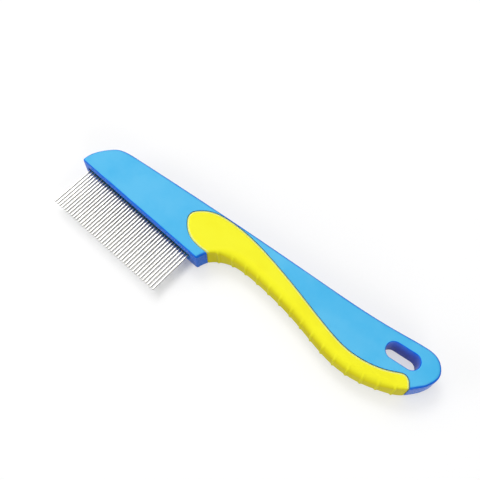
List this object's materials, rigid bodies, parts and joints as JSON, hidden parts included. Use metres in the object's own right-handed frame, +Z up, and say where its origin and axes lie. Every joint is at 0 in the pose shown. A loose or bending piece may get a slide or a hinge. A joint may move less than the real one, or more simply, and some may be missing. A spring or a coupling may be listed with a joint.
{
  "type": "flea comb",
  "caption": "Flat fine-toothed flea comb: hard head and handle with a hanging slot, steel pins in a strip, ribbed soft grip.",
  "frame": {"origin": "centre of the bounding box on the face the comb lies on", "axes": "+X from the head towards the tail, +Y from the pin tips towards the back edge, +Z up through the thickness"},
  "size_m": [0.1758, 0.0558, 0.0122],
  "materials": {
    "body_plastic": "satin moulded ABS, light blue",
    "grip_rubber": "matte soft overmould, yellow",
    "strip_plastic": "matt, dark blue",
    "pin_steel": "polished stainless wire"
  },
  "bodies": {
    "root": {"comb_body": "body_plastic", "grip": "grip_rubber", "pin_strip": "strip_plastic", "pin_01": "pin_steel", "pin_02": "pin_steel", "pin_03": "pin_steel", "pin_04": "pin_steel", "pin_05": "pin_steel", "pin_06": "pin_steel", "pin_07": "pin_steel", "pin_08": "pin_steel", "pin_09": "pin_steel", "pin_10": "pin_steel", "pin_11": "pin_steel", "pin_12": "pin_steel", "pin_13": "pin_steel", "pin_14": "pin_steel", "pin_15": "pin_steel", "pin_16": "pin_steel", "pin_17": "pin_steel", "pin_18": "pin_steel", "pin_19": "pin_steel", "pin_20": "pin_steel", "pin_21": "pin_steel", "pin_22": "pin_steel", "pin_23": "pin_steel", "pin_24": "pin_steel", "pin_25": "pin_steel", "pin_26": "pin_steel", "pin_27": "pin_steel", "pin_28": "pin_steel", "pin_29": "pin_steel", "pin_30": "pin_steel", "pin_31": "pin_steel", "pin_32": "pin_steel", "pin_33": "pin_steel", "pin_34": "pin_steel", "pin_35": "pin_steel", "pin_36": "pin_steel", "pin_37": "pin_steel", "pin_38": "pin_steel", "pin_39": "pin_steel", "pin_40": "pin_steel", "pin_41": "pin_steel", "pin_42": "pin_steel"}
  },
  "joints": []
}
